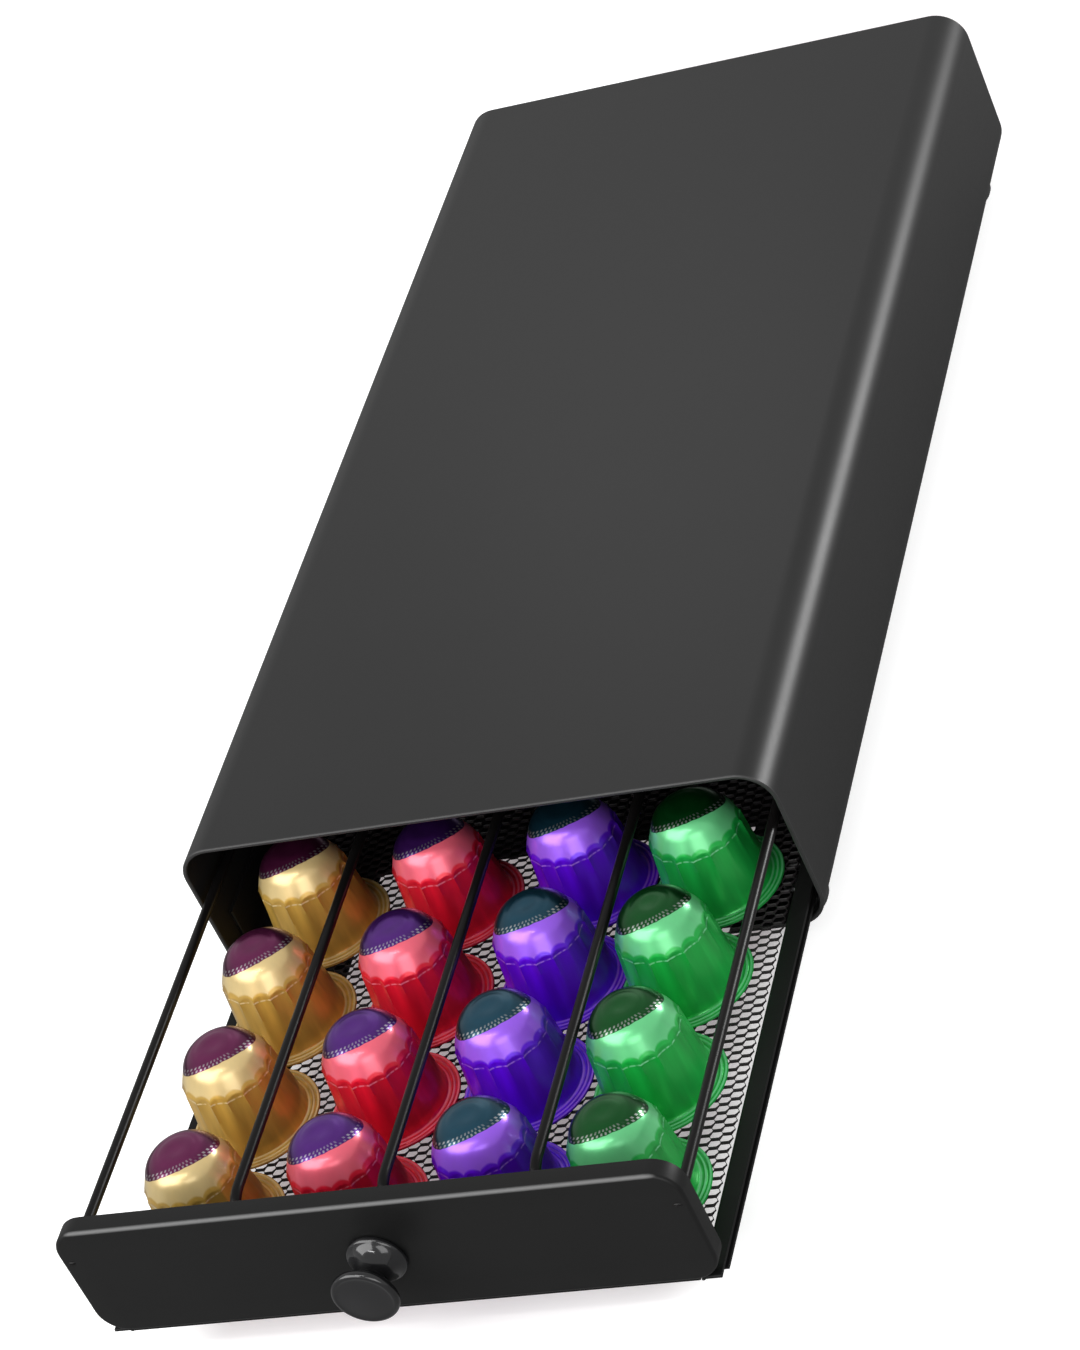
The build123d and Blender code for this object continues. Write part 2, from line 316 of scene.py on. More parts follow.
def gloss_plastic(name, tint):
    """Polished black plastic with a faint haze and a few fine scuffs."""
    gloss = Finish(name)
    place = gloss.place()
    haze = gloss.noise(place, 7 * MM, 3)
    scuff = gloss.step(gloss.noise(gloss.stretched(place, (1, 5, 0.4)), 0.5 * MM, 3), 0.66, 0.8)
    return gloss.surface(
        Base_Color=gloss.mix(haze, tint, tinted(tint, 1.8)),
        Roughness=0.12 + haze * 0.08 + scuff * 0.14,
        Specular_IOR_Level=0.32,
        Coat_Weight=0.6,
        Coat_Roughness=0.08,
        Normal=gloss.bump(haze, 0.04, 0.1 * MM),
    )


def foot_rubber(name, tint):
    """Matte rubber with a fine moulded grain."""
    rubber = Finish(name)
    place = rubber.place()
    grain = rubber.noise(place, 0.4 * MM, 3)
    dust = rubber.noise(place, 5 * MM, 4)
    return rubber.surface(
        Base_Color=rubber.mix(dust, tint, tinted(tint, 2.2)),
        Roughness=0.7 + grain * 0.2,
        Normal=rubber.bump(grain, 0.35, 0.08 * MM),
    )


def foil(name, body, cap, given):
    """Lacquered foil: dark cap edged with plain strokes and painted shade towards its edge,
    painted highlights on the scalloped shoulder, the crease ring and the rim's ridge, ringed rim.
    """
    skin = Finish(name)
    place = skin.place()
    across, along, up = skin.axes(place)
    reach = (across * across + along * along) ** 0.5
    turn = skin.maths("ARCTAN2", along, across)
    crease = skin.noise(skin.stretched(place, (1, 1, 0.3)), 1.6 * MM, 3)
    cloud = skin.noise(place, 7 * MM, 2)
    streak = skin.noise(skin.stretched(place, (1, 1, 0.06)), 3.5 * MM, 2)
    # The cap's edge is level behind and climbs on the side towards the camera
    camera_level = 0.82
    forward = (across * CAMERA_BACK[0] + along * CAMERA_BACK[1]) / camera_level
    climb = (forward + (forward * forward + (3 * MM) ** 2) ** 0.5) / 2
    edge = up - climb * given.cap_lean + (crease - 0.5) * (0.5 * MM)
    on_cap = skin.step(edge, 24.3 * MM, 24.5 * MM)
    # Two rows of plain strokes round the cap's edge, the upper row half a stroke on
    strokes, parting = 38, 25.3 * MM
    upper = skin.step(edge, parting - 0.05 * MM, parting + 0.05 * MM)
    beat = skin.maths("FRACT", turn * (strokes / math.tau) + upper / 2)
    stroke = skin.step(abs(beat - 0.5), 0.22, 0.34) * skin.step(cloud, 0.3, 0.5)
    stroke = stroke * skin.step(abs(edge - parting), 0.08 * MM, 0.2 * MM)
    band = 1 - skin.step(abs(edge - parting), 0.6 * MM, 0.8 * MM)
    # Arches of bare body colour reach from the crease ring into the painted highlight of the
    # shoulder
    arch = abs(skin.maths("COSINE", turn * (given.flutes / 2))) ** 0.6
    painted_highlight_edge = up - arch * (cloud * 3.4 - 0.5) * MM + (cloud - 0.5) * (2.4 * MM)
    shoulder = skin.step(painted_highlight_edge, 21.2 * MM, 21.9 * MM)
    # Painted highlight along the crease ring, broken by the crease noise
    below_arches = 1 - skin.step(up, ARCHES_AT - 0.15 * MM, ARCHES_AT)
    ring = skin.step(up, CREASE_AT - 0.2 * MM, CREASE_AT) * below_arches
    # The light tint of the painted highlights on the shoulder, the crease ring and the rim's ridge
    painted_highlight_tint = tuple(0.1 + 0.9 * part**0.5 for part in body)
    tone = skin.mix(streak, tinted(body, 0.5), tinted(body, 1.45))
    # Painted highlight over the shoulder
    tone = skin.mix(shoulder * 0.66, tone, painted_highlight_tint)
    tone = skin.mix(ring * skin.step(crease, 0.36, 0.56), tone, painted_highlight_tint)
    crown = skin.mix(cloud, tinted(cap, 0.75), tinted(cap, 1.35))
    # Painted shade: the cap darkens from its middle towards its edge
    crown = skin.mix(skin.step(reach, 5 * MM, 10 * MM), crown, tinted(cap, 0.55))
    tone = skin.mix(on_cap, tone, crown)
    tone = skin.mix(band * stroke * 0.42, tone, (0.7, 0.7, 0.7))
    # Painted highlight along the ridge of the rim
    ridge = skin.step(up, 0.78 * MM, 0.95 * MM) * skin.step(reach, 15.1 * MM, 15.3 * MM)
    tone = skin.mix(ridge * 0.6, tone, painted_highlight_tint)
    return skin.surface(
        Base_Color=tone,
        Metallic=0.35 + on_cap * 0.5,
        Roughness=given.roughness - 0.04 + crease * 0.08,
        Coat_Weight=0.25,
        Coat_Roughness=0.15,
        Normal=skin.bump(crease * 0.5 + streak * 0.5, 0.12, 0.25 * MM),
    )


# ---- shapes ----


def finished(name, bm, body, finish, stands_for=(), angle=32):
    """Turns a bmesh into a piece that rides on a body and stands for its nodes."""
    bmesh.ops.recalc_face_normals(bm, faces=bm.faces)
    mesh = bpy.data.meshes.new(name)
    bm.to_mesh(mesh)
    bm.free()
    mesh.shade_smooth()
    mesh.set_sharp_from_angle(angle=math.radians(angle))
    mesh.materials.append(finish)
    piece = bpy.data.objects.new(name, mesh)
    bpy.context.scene.collection.objects.link(piece)
    dressed(piece, body, stands_for)
    return piece


def dressed(piece, body, stands_for=()):
    """Says which body a piece rides on and the CAD nodes it stands for."""
    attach(piece, body)
    if stands_for:
        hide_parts(*stands_for)


def spanned(node):
    """A CAD node's lowest and highest corner, and the middle between them."""
    low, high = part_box(node)
    return low, high, (low + high) / 2


def painted(finish, *nodes):
    """Gives CAD nodes a finish and leaves their shape alone."""
    for name in nodes:
        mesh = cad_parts[name].data
        mesh.materials.clear()
        mesh.materials.append(finish)


def folded(corners, radius, steps=8):
    """A line through the corners with each one rounded."""
    line = [Vector(corners[0])]
    for before, corner, after in zip(corners, corners[1:], corners[2:]):
        corner = Vector(corner)
        back = (Vector(before) - corner).normalized()
        on = (Vector(after) - corner).normalized()
        half = back.angle(on) / 2
        reach = radius / math.tan(half)
        centre = corner + (back + on).normalized() * (radius / math.sin(half))
        start = corner + back * reach - centre
        end = corner + on * reach - centre
        whole = start.angle(end)
        for step in range(steps + 1):
            share_on = step / steps
            blend = start * math.sin((1 - share_on) * whole) + end * math.sin(share_on * whole)
            line.append(centre + blend / math.sin(whole))
    line.append(Vector(corners[-1]))
    return line


def bridged(bm, rings, capped=False):
    """Joins each closed ring of vertices to the next; capped closes the first and the last."""
    for ring, following in zip(rings, rings[1:]):
        count = len(ring)
        for index in range(count):
            after = (index + 1) % count
            bm.faces.new((ring[index], ring[after], following[after], following[index]))
    if capped:
        bm.faces.new(rings[0])
        bm.faces.new(rings[-1])


def followed(line):
    """Each point of a line with the unit direction of the line there."""
    pairs = []
    for index, point in enumerate(line):
        before, after = line[max(0, index - 1)], line[min(len(line) - 1, index + 1)]
        pairs.append((point, (after - before).normalized()))
    return pairs


def formed_strip(line, thick, start, end, along="Y", soft=0.25 * MM):
    """Sheet bent along the line and pushed from start to end, with soft end edges.

    The line is flat, and gives (X, Z) for a strip along Y or (Y, Z) for one along X.
    """
    bm = bmesh.new()
    sides = [(point, Vector((-run.y, run.x))) for point, run in followed(line)]
    rings = []
    stations = [(start, thick / 2 - soft), (start + soft, thick / 2)]
    stations += [(end - soft, thick / 2), (end, thick / 2 - soft)]
    for station, half in stations:
        loop = [point + normal * half for point, normal in sides]
        loop += [point - normal * half for point, normal in reversed(sides)]
        if along == "Y":
            corners = [(point.x, station, point.y) for point in loop]
        else:
            corners = [(station, point.x, point.y) for point in loop]
        rings.append([bm.verts.new(corner) for corner in corners])
    bridged(bm, rings)
    count = len(rings[0])
    for ring in (rings[0], rings[-1]):
        for index in range(count // 2 - 1):
            other = count - 1 - index
            bm.faces.new((ring[index], ring[index + 1], ring[other - 1], ring[other]))
    return bm


def turned(profile, segments, bend=None):
    """A profile of (radius, height) turned about Z; bend may change a radius."""
    bm = bmesh.new()
    rings = []
    for radius, height in profile:
        if radius == 0:
            rings.append([bm.verts.new((0, 0, height))])
            continue
        ring = []
        for index in range(segments):
            angle = math.tau * index / segments
            r = bend(radius, height, angle) if bend else radius
            ring.append(bm.verts.new((r * math.cos(angle), r * math.sin(angle), height)))
        rings.append(ring)
    for ring, following in zip(rings, rings[1:]):
        if len(ring) == len(following):
            bridged(bm, [ring, following])
            continue
        for index in range(segments):
            after = (index + 1) % segments
            if len(ring) == 1:
                bm.faces.new((ring[0], following[index], following[after]))
            else:
                bm.faces.new((ring[index], ring[after], following[0]))
    return bm


def wire_along(points, radius, bend, segments=14):
    """A round wire through the points, bent at each corner and closed at its ends.

    The points share one X, or they are the two ends of a straight wire along X.
    """
    bm = bmesh.new()
    path = folded(points, bend)
    side = Vector((1, 0, 0)) if path[0].x == path[-1].x else Vector((0, 1, 0))
    rings = []
    for point, run in followed(path):
        up = run.cross(side).normalized()
        ring = []
        for step in range(segments):
            angle = math.tau * step / segments
            offset = side * math.cos(angle) + up * math.sin(angle)
            ring.append(bm.verts.new(point + offset * radius))
        rings.append(ring)
    bridged(bm, rings, capped=True)
    return bm


def rounded_outline(width, height, radius, steps):
    """Corners of a rounded rectangle about the origin, in order."""
    points = []
    for quarter, (side, level) in enumerate(((1, 1), (-1, 1), (-1, -1), (1, -1))):
        x, z = side * (width / 2 - radius), level * (height / 2 - radius)
        for step in range(steps + 1):
            angle = math.pi / 2 * (quarter + step / steps)
            points.append((x + radius * math.cos(angle), z + radius * math.sin(angle)))
    return points


def spread(start, end, count):
    """Points from start to end with count equal steps between them."""
    points = []
    for step in range(count + 1):
        on = step / count
        points.append(tuple(a + (b - a) * on for a, b in zip(start, end)))
    return points


# ---- one operator for each piece or group of like pieces ----


class PODDRAWER_OT_sleeve(bpy.types.Operator):
    """Folds the sleeve out of one sheet, with softened mouth edges"""

    bl_idname = "poddrawer.sleeve"
    bl_label = "Sleeve"

    def execute(self, context):
        given = context.scene.casing
        low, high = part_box("sleeve_shell")
        half = given.sheet / 2
        left, right = low.x + half, high.x - half
        bottom, top = low.z + half, high.z - half
        corners = [
            (low.x + given.lip, bottom),
            (left, bottom),
            (left, top),
            (right, top),
            (right, bottom),
            (high.x - given.lip, bottom),
        ]
        line = folded(corners, given.bend - half, 12)
        bm = formed_strip(line, given.sheet, low.y, high.y, soft=0.3 * MM)
        # A painted highlight along the edge of the mouth
        mouth = ({"Y": low.y}, 0.8 * MM, 0.03)
        coat = powder_coat("sleeve_powder_coat", tuple(given.coat), given.roughness, painted_highlight_edge=mouth)
        finished("sleeve_sheet", bm, "casing", coat, ["sleeve_shell"])
        return {"FINISHED"}


class PODDRAWER_OT_casing_metal(bpy.types.Operator):
    """Runners, ties, rivets and feet of the sleeve"""

    bl_idname = "poddrawer.casing_metal"
    bl_label = "Runners, ties and feet"

    def execute(self, context):
        given = context.scene.casing
        zinc = zinc_plate("zinc_plate", tuple(given.steel))
        coat = powder_coat("tie_powder_coat", tuple(given.coat), given.roughness + 0.05)
        half = ROLLED_SHEET / 2
        for name, side in (("runner_left", -1), ("runner_right", 1)):
            low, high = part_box(name)
            inner, outer = sorted((abs(low.x), abs(high.x)))
            wall, foot = side * (outer - half), low.z + half
            line = folded([(wall, high.z), (wall, foot), (side * inner, foot)], 2.5 * MM)
            bm = formed_strip(line, ROLLED_SHEET, low.y, high.y)
            finished(f"{name}_rolled", bm, "casing", coat, [name])
        half = TIE_SHEET / 2
        for name in ("tie_front", "tie_rear"):
            low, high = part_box(name)
            strap, stand = low.z + half, high.y - half
            line = folded([(low.y, strap), (stand, strap), (stand, high.z)], 0.9 * MM)
            bm = formed_strip(line, TIE_SHEET, low.x, high.x, along="X")
            finished(f"{name}_folded", bm, "casing", coat, [name])
        rubber = foot_rubber("foot_rubber", tuple(given.rubber))
        for end in ("front", "rear"):
            for side in ("left", "right"):
                self.foot(f"foot_{end}_{side}", rubber)
                self.rivet(f"rivet_{end}_{side}", zinc)
        return {"FINISHED"}

    def foot(self, name, rubber):
        """A soft-edged rubber foot with a hole and a recess for its rivet."""
        low, high, middle = spanned(name)
        r, tall = (high.x - low.x) / 2, high.z - low.z
        recess, hole = 3.8 * MM, 1.8 * MM
        outline = [(hole, 0), (r, 0), (r - 0.3 * MM, -tall * 0.7), (r - 1.3 * MM, -tall)]
        outline += [(recess, -tall), (recess - 0.4 * MM, -tall / 2), (hole, -tall / 2)]
        # The profile ends where it began, so its first and last ring are made one
        bm = turned(folded(outline, 0.35 * MM, 3) + outline[:1], 40)
        bmesh.ops.remove_doubles(bm, verts=bm.verts, dist=0.001 * MM)
        bm.transform(Matrix.Translation((middle.x, middle.y, high.z)))
        finished(f"{name}_rubber", bm, "casing", rubber, [name])

    def rivet(self, name, zinc):
        """A rivet with a domed head at both ends."""
        low, high, middle = spanned(name)
        r, tall = (high.x - low.x) / 2, high.z - low.z
        brim = 1.0 * MM
        dome = [(0, 0), (r * 0.55, 0.08 * MM), (r * 0.86, 0.4 * MM), (r, brim), (r * 0.5, brim)]
        upper = [(radius, tall - height) for radius, height in reversed(dome)]
        bm = turned(dome + upper, 28)
        bm.transform(Matrix.Translation((middle.x, middle.y, low.z)))
        finished(f"{name}_domed", bm, "casing", zinc, [name])


class PODDRAWER_OT_front_panel(bpy.types.Operator):
    """The pan-shaped front panel with rolled edges"""

    bl_idname = "poddrawer.front_panel"
    bl_label = "Front panel"

    def execute(self, context):
        given = context.scene.drawer
        low, high, middle = spanned("front_panel")
        width, height = high.x - low.x, high.z - low.z
        sheet = given.sheet
        front, back = low.y, high.y
        # (inset from the outline, Y) from the pan's inside, over its rim, to its face
        plate, soft = front + sheet, 0.3 * MM
        section = [(sheet + 4 * MM, plate), (sheet + 0.8 * MM, plate)]
        section += [(sheet + 0.2 * MM, plate + 0.2 * MM), (sheet, plate + 0.8 * MM)]
        section += [(sheet, back - soft), (sheet - soft, back), (soft, back), (0, back - soft)]
        edge = 1.1 * MM
        for step in range(7):
            angle = math.pi / 2 * step / 6
            section.append((edge * (1 - math.cos(angle)), front + edge * (1 - math.sin(angle))))
        section.append((8 * MM, front))
        bm = bmesh.new()
        rings = []
        for inset, y in section:
            radius = max(given.corner - inset, 0.4 * MM)
            outline = rounded_outline(width - 2 * inset, height - 2 * inset, radius, 10)
            rings.append([bm.verts.new((middle.x + x, y, middle.z + z)) for x, z in outline])
        bridged(bm, rings, capped=True)
        # A painted highlight along the rolled top edge of the face
        lit = ({"Y": front, "Z": high.z}, edge, 0.12)
        coat = powder_coat("panel_powder_coat", tuple(given.coat), 0.38, sheen=0.2, painted_highlight_edge=lit)
        finished("front_panel_pan", bm, "drawer", coat, ["front_panel"])
        return {"FINISHED"}


class PODDRAWER_OT_knob(bpy.types.Operator):
    """The turned gloss knob, with the screw and washer behind the panel"""

    bl_idname = "poddrawer.knob"
    bl_label = "Knob"

    def execute(self, context):
        given = context.scene.drawer
        low, high, middle = spanned("knob")
        # (radius, distance from the panel) in millimetres, scaled to the CAD knob
        profile = [(0, 0), (7.6, 0), (8.0, 0.3), (8.0, 1.1), (7.75, 1.6), (6.9, 2.1), (5.9, 3.2)]
        profile += [(5.2, 4.5), (4.8, 5.8), (4.7, 7.0), (4.95, 8.4), (5.6, 9.7), (6.6, 10.7)]
        profile += [(7.8, 11.3), (8.5, 11.6), (8.85, 12.1), (8.9, 12.7), (8.75, 13.3)]
        profile += [(8.3, 13.75), (7.7, 13.9), (7.2, 13.72), (5.4, 13.8), (3, 13.92), (0, 14)]
        wide = (high.x - low.x) / 2 / max(radius for radius, _ in profile)
        long = (high.y - low.y) / profile[-1][1]
        bm = turned(self.smoothed([(r * wide, out * long) for r, out in profile]), 72)
        turn = Matrix.Rotation(math.pi / 2, 4, "X")
        bm.transform(Matrix.Translation((middle.x, high.y, middle.z)) @ turn)
        gloss = gloss_plastic("knob_gloss_black", tuple(given.knob))
        finished("knob_turned", bm, "drawer", gloss, ["knob"], angle=60)
        steel = tuple(context.scene.casing.steel)
        painted(zinc_plate("screw_zinc", steel), "knob_screw", "knob_washer")
        return {"FINISHED"}

    def smoothed(self, profile):
        """Two rounds of corner cutting along the profile, ends kept."""
        for _ in range(2):
            cut = [profile[0]]
            for start, end in zip(profile, profile[1:]):
                cut += [spread(start, end, 4)[quarter] for quarter in (1, 3)]
            profile = cut + [profile[-1]]
        return profile


class PODDRAWER_OT_frame(bpy.types.Operator):
    """The four rolled channels of the drawer's bottom frame and the stop lugs"""

    bl_idname = "poddrawer.frame"
    bl_label = "Bottom frame"

    def execute(self, context):
        given = context.scene.drawer
        coat = powder_coat("frame_powder_coat", tuple(given.coat), 0.48, sheen=0.12)
        self.channel("frame_left", "Y", -1, coat)
        self.channel("frame_right", "Y", 1, coat)
        self.channel("frame_front", "X", -1, coat)
        self.channel("frame_rear", "X", 1, coat)
        half = ROLLED_SHEET / 2
        for name in ("stop_lug_left", "stop_lug_right"):
            low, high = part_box(name)
            plate, stand = high.z - half, low.y + half
            line = folded([(high.y, plate), (stand, plate), (stand, low.z)], 0.8 * MM)
            bm = formed_strip(line, ROLLED_SHEET, low.x, high.x, along="X")
            finished(f"{name}_folded", bm, "drawer", coat, [name])
        return {"FINISHED"}

    def channel(self, name, along, outward, coat):
        """A C-section open outward, its lower flange cut back behind the panel."""
        low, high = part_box(name)
        half = ROLLED_SHEET / 2
        run, across = ("y", "x") if along == "Y" else ("x", "y")
        inner, outer = getattr(low, across), getattr(high, across)
        if outward < 0:
            inner, outer = outer, inner
        web = inner + outward * half
        bottom, top = low.z + half, high.z - half
        line = folded([(outer, bottom), (web, bottom), (web, top), (outer, top)], 0.7 * MM, 5)
        bm = formed_strip(line, ROLLED_SHEET, getattr(low, run), getattr(high, run), along)
        if name != "frame_rear":
            for vert in bm.verts:
                if vert.co.z < bottom + ROLLED_SHEET and vert.co.y < low.y + ROLLED_SHEET:
                    vert.co.y += FLANGE_BACK
        finished(f"{name}_channel", bm, "drawer", coat, [name])


class PODDRAWER_OT_wires(bpy.types.Operator):
    """Side rails, lane dividers, back rail and floor rods, with their weld beads"""

    bl_idname = "poddrawer.wires"
    bl_label = "Wires"

    def execute(self, context):
        given = context.scene.drawer
        coat = powder_coat("wire_coat", tuple(given.wire_coat), 0.3, 0.7 * MM, 0.16)
        r = given.wire / 2
        beads = []
        for name in ("rail_left", "rail_right"):
            low, high, middle = spanned(name)
            x, back, top = middle.x, high.y - r, high.z - r
            self.bent(name, [(x, low.y, top), (x, back, top), (x, back, low.z)], given, coat)
            beads += [(x, low.y + 0.4 * MM, top), (x, back, low.z + 0.3 * MM)]
        for name in ("divider_1", "divider_2", "divider_3"):
            low, high, middle = spanned(name)
            x, front, back, top = middle.x, low.y + r, high.y - r, high.z - r
            points = [(x, front, low.z), (x, front, top), (x, back, top), (x, back, low.z)]
            self.bent(name, points, given, coat)
            beads += [(x, front, low.z + 0.3 * MM), (x, back, low.z + 0.3 * MM)]
        for name in ("back_rail", "floor_rod_1", "floor_rod_2", "floor_rod_3"):
            low, high, middle = spanned(name)
            ends = [(x, middle.y, middle.z) for x in (low.x, high.x)]
            self.bent(name, ends, given, coat)
        self.weld(beads, r, coat)
        return {"FINISHED"}

    def bent(self, name, points, given, coat):
        bm = wire_along(points, given.wire / 2, given.wire_bend)
        finished(f"{name}_wire", bm, "drawer", coat, [name], angle=50)

    def weld(self, beads, r, coat):
        """Small uneven fillets of weld where the wires meet the panel and the frame."""
        seeded = random.Random(7)
        bm = bmesh.new()
        for place in beads:
            lump = bmesh.ops.create_icosphere(bm, subdivisions=3, radius=r * 1.35)
            for vert in lump["verts"]:
                vert.co *= 1 + seeded.uniform(-0.05, 0.05)
                vert.co.z *= 0.45
                vert.co += Vector(place)
        finished("weld_beads", bm, "drawer", coat, angle=60)


class PODDRAWER_OT_floor(bpy.types.Operator):
    """The expanded-metal floor: waved strands bonded to their neighbours"""

    bl_idname = "poddrawer.floor"
    bl_label = "Expanded floor"

    def execute(self, context):
        given = context.scene.drawer
        low, high, middle = spanned("mesh_floor")
        bm = bmesh.new()
        rows = round((high.y - low.y) / (given.cell_y / 2))
        pitch = (high.y - low.y) / rows
        for row in range(rows + 1):
            bridged(bm, self.strand(bm, given, row, pitch, (low, high, middle)), capped=True)
        coat = powder_coat("floor_powder_coat", tuple(given.floor_coat), 0.45, 0.5 * MM, 0.2)
        finished("floor_expanded", bm, "drawer", coat, ["mesh_floor"], angle=40)
        return {"FINISHED"}

    def strand(self, bm, given, row, pitch, span):
        """Sections of one waved strand across the drawer, tilted as it swings."""
        low, high, middle = span
        quarter = given.cell_x / 4
        half = given.strand / 2
        swing = pitch / 2 - half * 0.5
        deep, lean = (high.z - low.z) * 0.28, (high.z - low.z) * 0.18
        # How far the bonds between two strands reach past the quarters of a wave
        bond = quarter * 0.22
        rings = []
        for step in range(math.ceil((high.x - low.x) / quarter) + 1):
            phase = (step + 2 * (row % 2)) % 4
            x = low.x + step * quarter + (bond if phase % 2 else -bond)
            x = min(max(x, low.x), high.x)
            side = 1 if phase < 2 else -1
            y = low.y + row * pitch + side * swing
            y = min(max(y, low.y + half), high.y - half)
            tilt = side * lean
            corners = (
                (x, y - half, middle.z - deep + tilt),
                (x, y + half, middle.z - deep - tilt),
                (x, y + half, middle.z + deep - tilt),
                (x, y - half, middle.z + deep + tilt),
            )
            rings.append([bm.verts.new(corner) for corner in corners])
        return rings


class PODDRAWER_OT_pods(bpy.types.Operator):
    """Sixteen fluted foil pods, four of each colour"""

    bl_idname = "poddrawer.pods"
    bl_label = "Pods"

    def execute(self, context):
        given = context.scene.pods
        seeded = random.Random(11)
        for lane in LANES:
            body = tuple(getattr(given, lane))
            cap = tuple(getattr(given, f"{lane}_cap"))
            slot_name = f"foil_{lane}"
            finish = foil(slot_name, body, cap, given)
            for number in (1, 2, 3, 4):
                node = f"pod_{lane}_{number}"
                name = f"{node}_foil"
                low, high, middle = spanned(node)
                if number == 1:
                    bm = self.pod(given, high.z - low.z, (high.x - low.x) / 2)
                    piece = finished(name, bm, "drawer", finish, [node], 42)
                    shape = piece.data
                else:
                    piece = bpy.data.objects.new(name, shape)
                    context.scene.collection.objects.link(piece)
                    dressed(piece, "drawer", [node])
                piece.location = (middle.x, middle.y, low.z)
                piece.rotation_euler.z = seeded.uniform(-0.12, 0.12)
        return {"FINISHED"}

    def pod(self, given, tall, rim):
        """A pod standing on its rim: ringed flange, fluted body, stepped shoulder, domed cap."""
        # (radius, height) in millimetres of a pod 37 across and 30 tall, scaled to the CAD pod
        flange = [(0, 0), (16.5, 0), (18.2, 0.05), (18.5, 0.4), (18.35, 0.85), (18.0, 1.0)]
        flange += [(17.7, 0.9), (17.5, 0.72), (17.2, 0.72), (16.95, 0.95), (16.6, 0.98)]
        flange += [(16.3, 0.74), (15.9, 0.74), (15.6, 0.95), (15.2, 0.98), (15.0, 1.3)]
        body = spread((14.9, 1.7), (13.2, 20.1), 52)
        cone = spread((13.17, 20.4), (10.6, 25.6), 20)
        # The crown curves from the cone to the top, with a fine groove at a radius of 5.6
        crown = []
        for step in range(1, 17):
            on = step / 16
            off = 1 - on
            r = 10.6 * off**2 + 2 * 8.4 * on * off + 2.6 * on**2
            z = 25.6 * off**2 + 2 * 29.95 * on * off + 29.95 * on**2
            crown.append((r, z - 0.14 * math.exp(-(((r - 5.6) / 0.5) ** 2))))
        crown += [(1.4, 29.85), (0, 29.8)]
        wide, high = rim / 18.5, tall / 30
        outline = [(r * wide, z * high) for r, z in flange + body + cone + crown]
        return turned(outline, given.flutes * 8, lambda r, z, turn: self.fluted(given, r, z, turn))

    def fluted(self, given, radius, height, turn):
        """Flutes that fade out downwards and end in arches above the crease ring."""
        lowest = 5 * MM
        if height < lowest or height > 24 * MM or radius < 11 * MM:
            return radius
        wave = abs(math.cos(given.flutes * turn / 2)) ** 0.6
        # No two flutes of a pod are equally deep
        wave *= 1 + 0.3 * math.sin(3 * turn) + 0.25 * math.sin(7 * turn + 1)
        if height > ARCHES_AT:
            return min(radius, CREASE_RADIUS - given.flute * wave)
        ring = 0.08 * MM * max(0, 1 - abs(height - CREASE_AT) / (0.4 * MM))
        fade = min(1, (height - lowest) / (15 * MM)) ** 1.5
        return radius + ring - given.flute * wave * fade


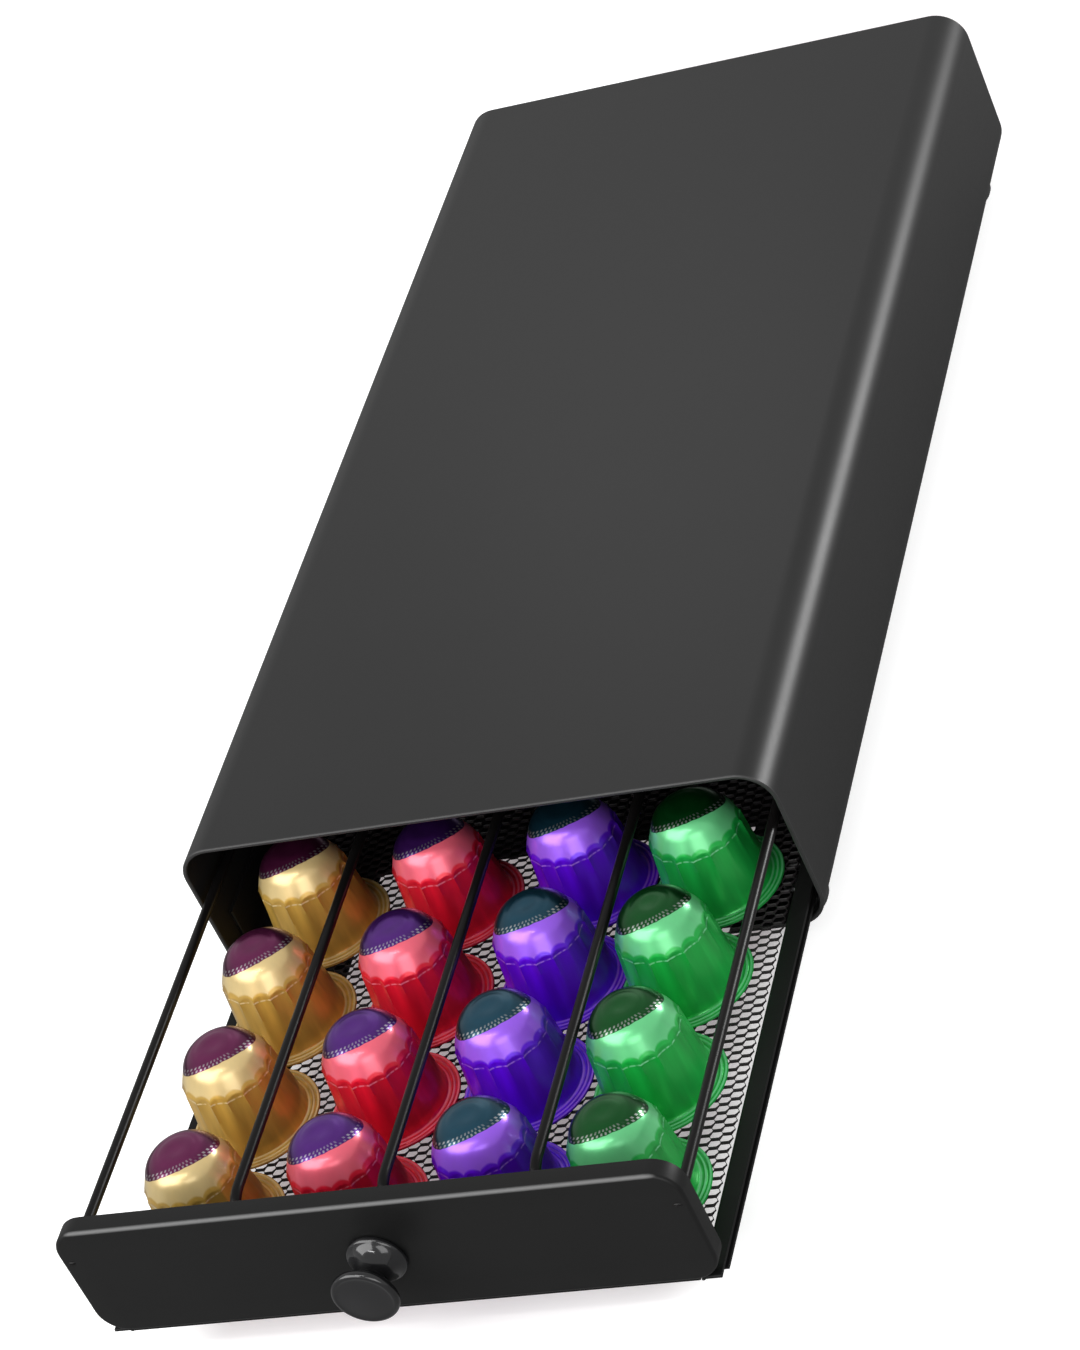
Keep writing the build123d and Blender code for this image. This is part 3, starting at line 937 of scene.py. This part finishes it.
class PODDRAWER_OT_stage(bpy.types.Operator):
    """Plain floor, white backdrop, soft lamps and the photograph's camera"""

    bl_idname = "poddrawer.stage"
    bl_label = "Stage"

    def execute(self, context):
        given = context.scene.stage
        self.floor(context, given)
        self.world(context, given)
        self.lamps(context, given)
        self.camera(context)
        context.scene.view_settings.view_transform = "Standard"
        return {"FINISHED"}

    def seen_by(self, finish, *kinds):
        """1 for rays of any of these kinds, 0 for others."""
        total = 0
        for kind in kinds:
            total = total + finish.node("ShaderNodeLightPath", out=f"Is {kind} Ray")
        return finish.maths("MINIMUM", total, 1)

    def floor(self, context, given):
        """A matte floor that the camera sees almost white and reflections see dim."""
        bm = bmesh.new()
        bmesh.ops.create_grid(bm, x_segments=8, y_segments=8, size=6)
        mesh = bpy.data.meshes.new("floor")
        bm.to_mesh(mesh)
        bm.free()
        ground = bpy.data.objects.new("floor", mesh)
        context.scene.collection.objects.link(ground)
        paint = Finish("floor_paint")
        tint = tuple(given.floor)
        place = paint.place()
        across, along, _ = paint.axes(place)
        # Under the drawer the added glow is weaker, a painted shadow, so that the mesh shows a
        # darker ground
        beside = paint.step(abs(across), 60 * MM, 80 * MM)
        clear = 1 - (1 - beside) * paint.step(along, -250 * MM, -225 * MM)
        mottle = paint.noise(place, 400 * MM, 2)
        tone = paint.mix(mottle, tinted(tint, 0.99), tint)
        matte = paint.node("ShaderNodeBsdfDiffuse", {}, {"Color": tone})
        glow_with_painted_shadow = paint.mix(clear, (0.3, 0.27, 0.28), (0.6, 0.6, 0.6))
        glow = paint.node("ShaderNodeEmission", {}, {"Color": glow_with_painted_shadow, "Strength": 1.0})
        both = paint.node("ShaderNodeAddShader", {}, {0: matte, 1: glow})
        direct = self.seen_by(paint, "Camera", "Transmission")
        shader = paint.node("ShaderNodeMixShader", {}, {0: direct, 1: matte, 2: both})
        dim = paint.node("ShaderNodeBsdfDiffuse", {}, {"Color": tinted(tint, 0.34)})
        mirrored = self.seen_by(paint, "Glossy")
        shader = paint.node("ShaderNodeMixShader", {}, {0: mirrored, 1: shader, 2: dim})
        paint.node("ShaderNodeOutputMaterial", {}, {"Surface": shader})
        mesh.materials.append(paint.made)

    def world(self, context, given):
        """White to the camera, a little grey in reflections, and the ambient light to the rest."""
        sky = Finish("soft_white", "worlds")
        context.scene.world = sky.made
        grey = 0.66
        shown = self.seen_by(sky, "Camera", "Transmission", "Glossy")
        direct = self.seen_by(sky, "Camera", "Transmission")
        strength = given.ambient + shown * (grey - given.ambient) + direct * (1 - grey)
        sockets = {"Color": (1.0, 1.0, 1.0), "Strength": strength}
        light = sky.node("ShaderNodeBackground", {}, sockets)
        sky.node("ShaderNodeOutputWorld", {}, {"Surface": light})

    def lamps(self, context, given):
        """Soft rectangles aimed at the origin: name, place, size and power."""
        for name, at, size, power in (
            ("key_softbox", (-0.85, -1.15, 1.0), (1.6, 1.1), given.key),
            ("front_fill", (0.6, -1.45, 0.65), (0.9, 0.7), given.key * 0.26),
            ("bend_strip", (1.02, 0.98, 0.36), (0.3, 0.5), given.key * 0.52),
            ("edge_strip", (-0.05, -0.75, 0.95), (0.5, 0.06), given.key * 0.07),
            ("top_sheen", (-0.12, 0.38, 0.36), (0.2, 0.2), given.key * 0.003),
        ):
            light = bpy.data.lights.new(name, "AREA")
            light.shape = "RECTANGLE"
            light.size, light.size_y = size
            light.energy = power
            lamp = bpy.data.objects.new(name, light)
            context.scene.collection.objects.link(lamp)
            lamp.location = at
            lamp.rotation_euler = (Vector(at) * -1).to_track_quat("-Z", "Y").to_euler()

    def camera(self, context):
        view = bpy.data.cameras.new("photograph_view")
        view.lens = CAMERA_LENS
        view.clip_end = 50
        camera = bpy.data.objects.new("photograph_view", view)
        context.scene.collection.objects.link(camera)
        turn = Matrix((CAMERA_RIGHT, CAMERA_UP, CAMERA_BACK)).transposed()
        camera.matrix_world = Matrix.Translation(CAMERA_AT) @ turn.to_4x4()
        context.scene.camera = camera


class PODDRAWER_PT_panel(bpy.types.Panel):
    """Settings and steps of the pod drawer"""

    bl_idname = "PODDRAWER_PT_panel"
    bl_label = "Pod drawer"
    bl_space_type = "VIEW_3D"
    bl_region_type = "UI"
    bl_category = "Pod drawer"

    def draw(self, context):
        for name in SETTINGS:
            box = self.layout.box()
            settings = getattr(context.scene, name)
            for key in settings.__annotations__:
                box.prop(settings, key)
        for step in STEPS:
            self.layout.operator(step.bl_idname)


SETTINGS = {
    "casing": CasingSettings,
    "drawer": DrawerSettings,
    "pods": PodSettings,
    "stage": StageSettings,
}
STEPS = (
    PODDRAWER_OT_sleeve,
    PODDRAWER_OT_casing_metal,
    PODDRAWER_OT_front_panel,
    PODDRAWER_OT_knob,
    PODDRAWER_OT_frame,
    PODDRAWER_OT_wires,
    PODDRAWER_OT_floor,
    PODDRAWER_OT_pods,
    PODDRAWER_OT_stage,
)


def register():
    for group in (*SETTINGS.values(), *STEPS, PODDRAWER_PT_panel):
        bpy.utils.register_class(group)
    for name, group in SETTINGS.items():
        setattr(bpy.types.Scene, name, bpy.props.PointerProperty(type=group))


def unregister():
    for name in SETTINGS:
        delattr(bpy.types.Scene, name)
    for group in reversed((*SETTINGS.values(), *STEPS, PODDRAWER_PT_panel)):
        bpy.utils.unregister_class(group)


def main():
    register()
    for step in STEPS:
        group, name = step.bl_idname.split(".")
        getattr(getattr(bpy.ops, group), name)()


if __name__ == "__main__":
    main()
